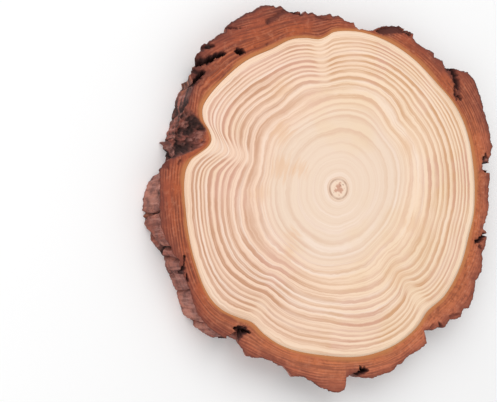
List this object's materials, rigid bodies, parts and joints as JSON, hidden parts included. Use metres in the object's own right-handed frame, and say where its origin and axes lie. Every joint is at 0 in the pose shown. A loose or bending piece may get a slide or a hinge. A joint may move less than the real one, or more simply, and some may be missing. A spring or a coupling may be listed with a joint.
{
  "type": "wood slice",
  "caption": "Round cross-cut slice of a conifer trunk with ragged bark left on its edge and a deep bay of ingrown bark; lies flat on one sawn face.",
  "frame": {"origin": "the pith on the underside, which is the sawn face that the slice lies on", "axes": "+Z along the trunk, out of the upper sawn face; +X and +Y in the plane of the underside, with the bay of ingrown bark on the -X side, turned a little towards +Y, and the bottom spur on the -Y side"},
  "size_m": [0.2065, 0.2059, 0.02],
  "materials": {
    "sawn_wood": "pale cream softwood, sawn across the grain and sanded, dry and unvarnished, with tan growth rings",
    "bark": "dry reddish brown bark, layered where it is sawn, mauve grey and flaky on its outer plates"
  },
  "bodies": {
    "root": {"wood_slice": "sawn_wood"}
  },
  "joints": []
}
